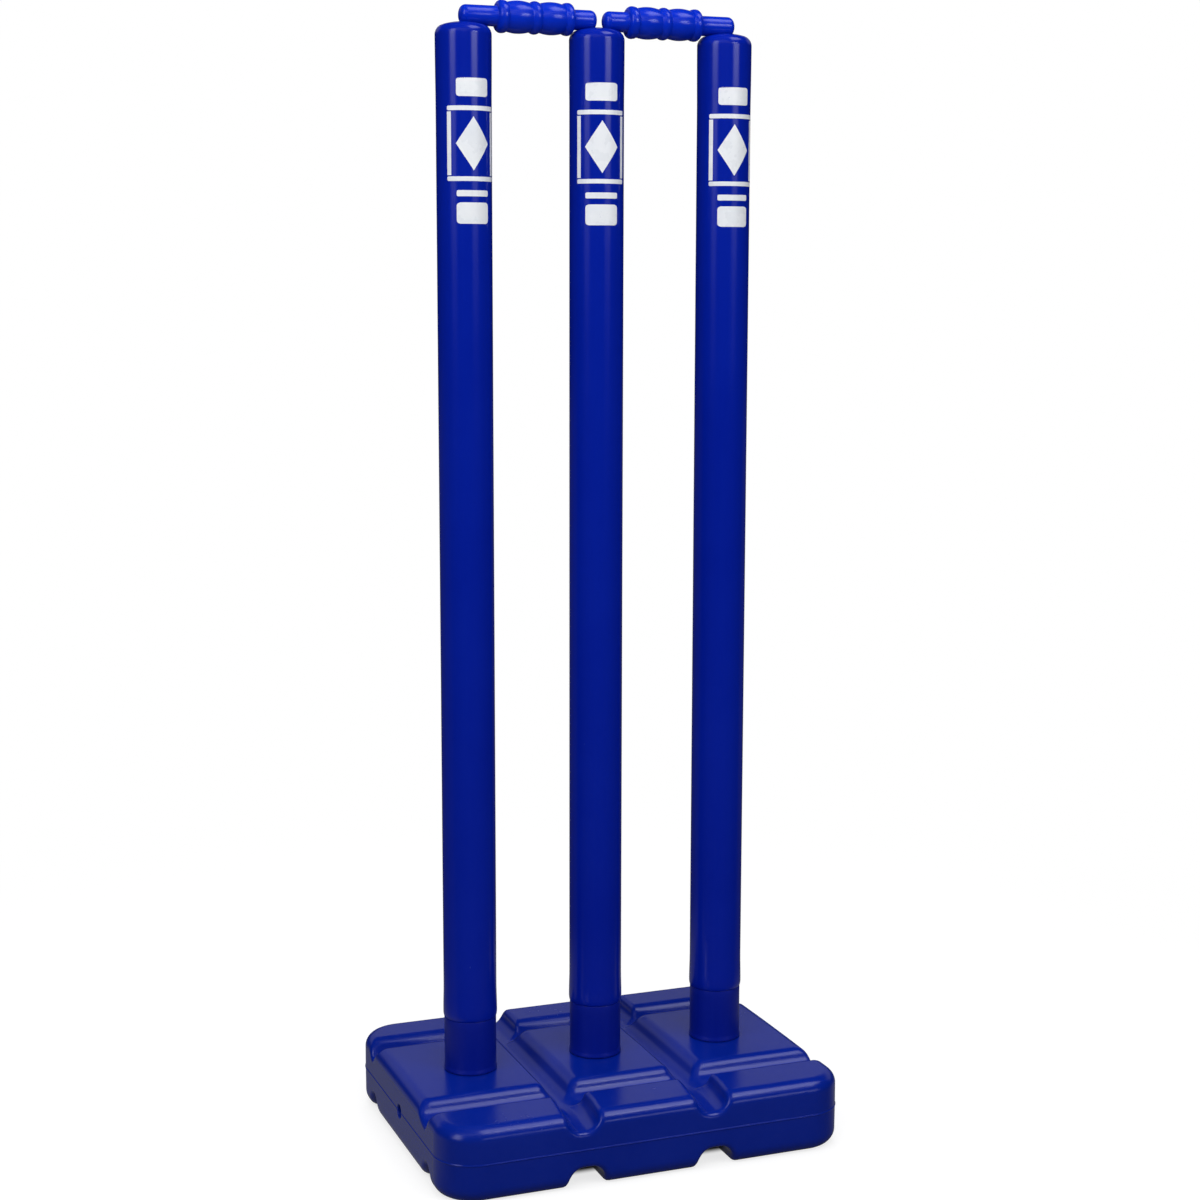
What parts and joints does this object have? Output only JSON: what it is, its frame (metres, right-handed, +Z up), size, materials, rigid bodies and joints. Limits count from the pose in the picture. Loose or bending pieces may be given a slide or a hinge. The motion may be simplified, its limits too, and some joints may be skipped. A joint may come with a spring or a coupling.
{
  "type": "cricket stumps",
  "caption": "Free-standing cricket wicket: round plastic stumps with rounded heads plugged into a ribbed hollow moulded stand, with turned bails laid across their tops.",
  "frame": {"origin": "middle of the stand's underside, on the surface that it stands on", "axes": "+X along the wicket from the left stump to the right one, -Y the front that the picture shows, +Z up along the stumps"},
  "size_m": [0.299, 0.2276, 0.7944],
  "materials": {
    "stand_plastic": "satin blow-moulded",
    "stump_plastic": "satin gloss",
    "bail_plastic": "satin gloss",
    "print": "printed film"
  },
  "bodies": {
    "stand": {"base": "stand_plastic"},
    "stump_left": {"stump_foot_left": "stump_plastic", "stump_tube_left": "stump_plastic"},
    "stump_middle": {"stump_foot_middle": "stump_plastic", "stump_tube_middle": "stump_plastic"},
    "stump_right": {"stump_foot_right": "stump_plastic", "stump_tube_right": "stump_plastic"},
    "bail_left": {"bail_left": "bail_plastic"},
    "bail_right": {"bail_right": "bail_plastic"}
  },
  "joints": [
    {"name": "stump_middle_lift", "type": "slide", "parent": "stand", "child": "stump_middle", "axis": [0, 0, 1], "range_m": [0, 0.06]},
    {"name": "stump_left_lift", "type": "slide", "parent": "stand", "child": "stump_left", "axis": [0, 0, 1], "range_m": [0, 0.06]},
    {"name": "stump_right_lift", "type": "slide", "parent": "stand", "child": "stump_right", "axis": [0, 0, 1], "range_m": [0, 0.06]},
    {"name": "bail_left_lift", "type": "slide", "parent": "stump_left", "child": "bail_left", "axis": [0, 0, 1], "range_m": [0, 0.06]},
    {"name": "bail_right_lift", "type": "slide", "parent": "stump_right", "child": "bail_right", "axis": [0, 0, 1], "range_m": [0, 0.06]}
  ],
  "couplings": [
    {"joint": "stump_left_lift", "follows": "stump_middle_lift", "ratio": 1},
    {"joint": "stump_right_lift", "follows": "stump_middle_lift", "ratio": 1}
  ]
}
